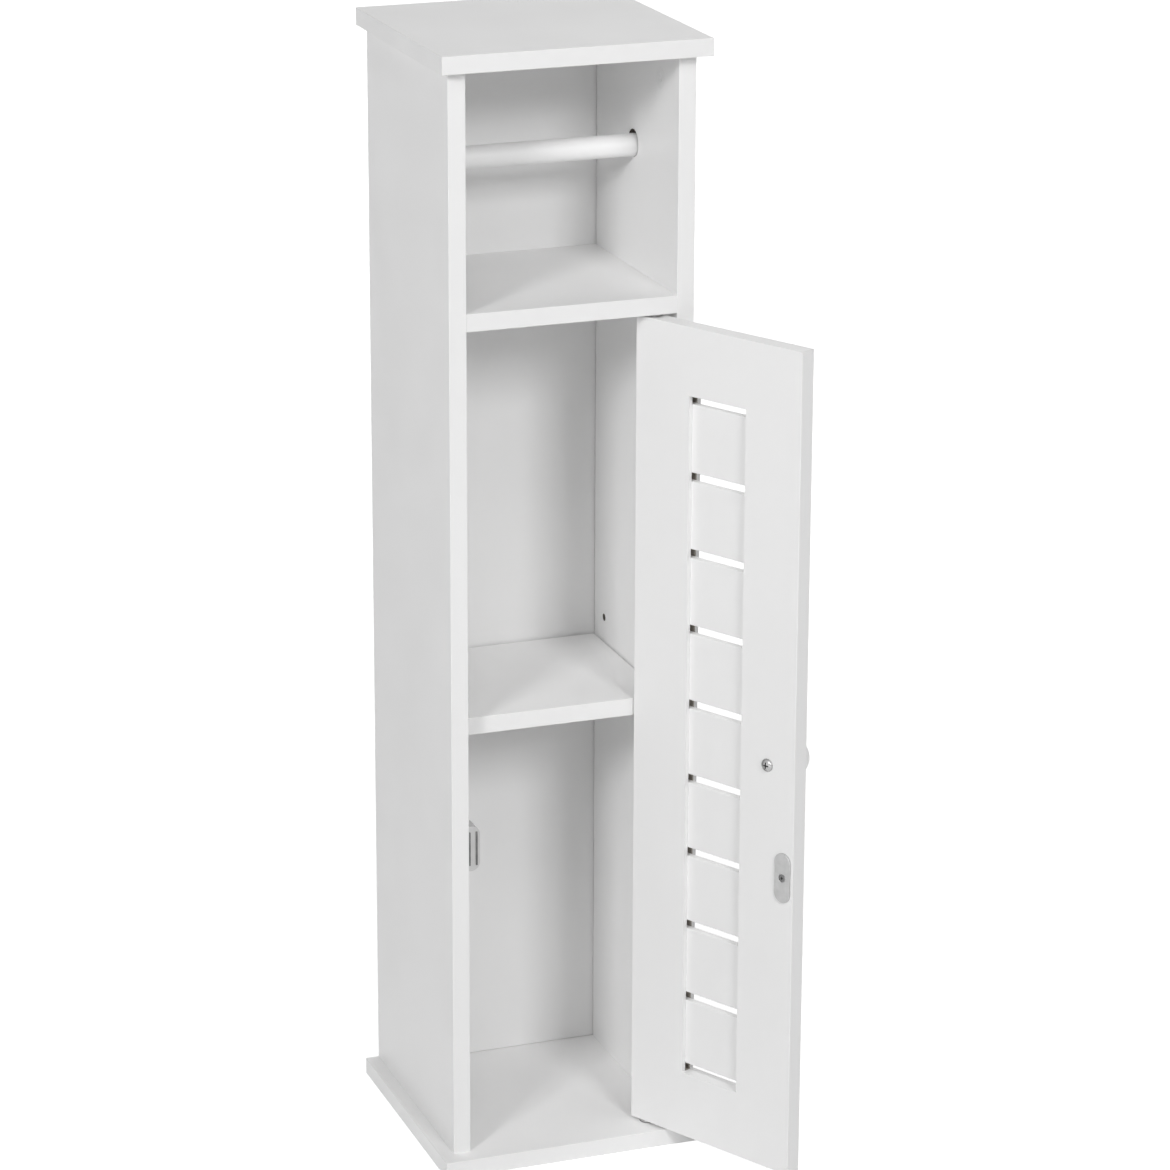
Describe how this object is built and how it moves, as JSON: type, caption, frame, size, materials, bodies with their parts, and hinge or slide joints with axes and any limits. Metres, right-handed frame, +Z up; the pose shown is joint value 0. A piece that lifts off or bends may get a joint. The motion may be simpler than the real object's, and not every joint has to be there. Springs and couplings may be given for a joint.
{
  "type": "toilet roll storage cabinet",
  "caption": "Slim free-standing white cabinet for toilet rolls: an open niche with a roll bar above, and a compartment with a loose shelf behind a slatted door on pivot pins below.",
  "frame": {"origin": "centre of the base panel's footprint, on the floor", "axes": "+Z up, the open front faces -Y, +X to the viewer's right, the side the door is hinged on"},
  "size_m": [0.2307, 0.2812, 0.776],
  "materials": {
    "white_lacquer": "satin white lacquer on fibreboard",
    "slat_lacquer": "satin white lacquer on thin fibreboard",
    "back_board": "white painted hardboard",
    "bar_lacquer": "satin white lacquer on a turned bar",
    "knob_lacquer": "satin white lacquer on a turned knob",
    "plain_wood": "bare beech",
    "screw_steel": "bright zinc plated",
    "strike_steel": "nickel plated, fine brushed",
    "pin_steel": "zinc plated",
    "bush_plastic": "natural nylon",
    "catch_plastic": "moulded, satin",
    "magnet_ferrite": "bare ferrite",
    "pole_steel": "dark zinc plated",
    "cam_zinc": "die-cast zinc",
    "cap_plastic": "moulded, satin white"
  },
  "bodies": {
    "carcass": {"top_panel": "white_lacquer", "base_panel": "white_lacquer", "left_side": "white_lacquer", "right_side": "white_lacquer", "back_panel": "back_board", "niche_shelf": "white_lacquer", "upper_pivot_bush": "bush_plastic", "lower_pivot_bush": "bush_plastic", "pivot_washer": "pin_steel", "catch_body": "catch_plastic", "catch_magnet": "magnet_ferrite", "catch_pole_plates": "pole_steel", "catch_screws": "screw_steel", "shelf_pins": "pin_steel", "cam_locks": "cam_zinc", "cam_caps": "cap_plastic", "cam_bolts": "screw_steel", "carcass_dowels": "plain_wood", "base_screws": "screw_steel", "back_panel_nails": "screw_steel"},
    "door": {"door_hinge_stile": "white_lacquer", "door_latch_stile": "white_lacquer", "door_top_rail": "white_lacquer", "door_bottom_rail": "white_lacquer", "door_slat_1": "slat_lacquer", "door_slat_2": "slat_lacquer", "door_slat_3": "slat_lacquer", "door_slat_4": "slat_lacquer", "door_slat_5": "slat_lacquer", "door_slat_6": "slat_lacquer", "door_slat_7": "slat_lacquer", "door_slat_8": "slat_lacquer", "door_slat_9": "slat_lacquer", "door_dowels": "plain_wood", "door_knob": "knob_lacquer", "knob_screw": "screw_steel", "strike_plate": "strike_steel", "strike_screw": "screw_steel", "upper_pivot_pin": "pin_steel", "lower_pivot_pin": "pin_steel"},
    "roll_bar": {"roll_bar": "bar_lacquer"},
    "middle_shelf": {"middle_shelf": "white_lacquer"}
  },
  "joints": [
    {"name": "door_swing", "type": "hinge", "parent": "carcass", "child": "door", "pos_m": [0.0595, -0.0725, 0.302], "axis": [0, 0, 1], "range_deg": [-118, 13]},
    {"name": "roll_bar_spin", "type": "hinge", "parent": "carcass", "child": "roll_bar", "pos_m": [0, 0.0035, 0.6882], "axis": [1, 0, 0], "continuous": true},
    {"name": "shelf_lift", "type": "slide", "parent": "carcass", "child": "middle_shelf", "axis": [0, 0, 1], "range_m": [0, 0.035]}
  ]
}
